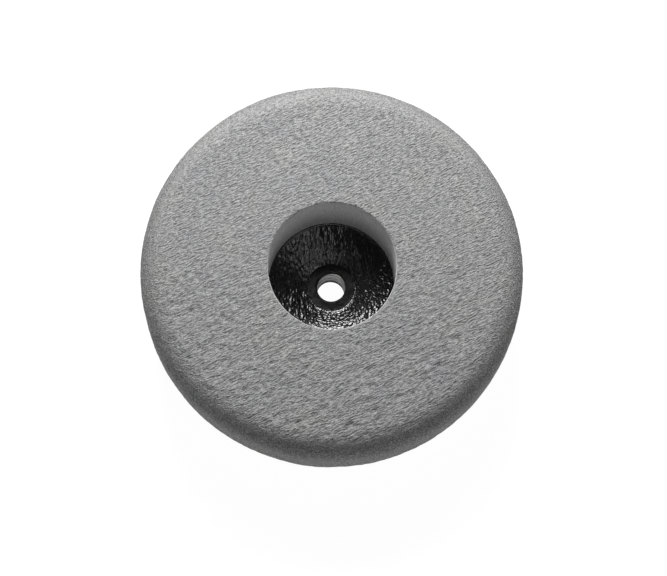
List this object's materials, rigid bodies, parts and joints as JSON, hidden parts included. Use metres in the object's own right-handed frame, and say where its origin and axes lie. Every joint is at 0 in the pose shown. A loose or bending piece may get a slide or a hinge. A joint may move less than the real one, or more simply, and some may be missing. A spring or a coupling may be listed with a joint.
{
  "type": "felt polishing wheel",
  "caption": "Thick pressed-felt polishing wheel with rounded rim and deep central recess, bonded to a dished backing plate with a threaded steel hub.",
  "frame": {"origin": "centre of the hub's rear seat, the lowest face when the wheel lies on its back", "axes": "+Z along the spindle axis towards the polishing face; +Y square to the hub's spanner flats"},
  "size_m": [0.16, 0.16, 0.06],
  "materials": {
    "felt": "pressed grey wool felt, matt, with short surface fibres",
    "adhesive": "black adhesive, brushed on and lumpy, satin to glossy",
    "plate": "black moulded nylon with a fine grain",
    "hub_steel": "blackened turned steel, brighter in the thread"
  },
  "bodies": {
    "root": {"felt_wheel": "felt", "bond_coat": "adhesive", "backing_plate": "plate", "threaded_hub": "hub_steel"}
  },
  "joints": []
}
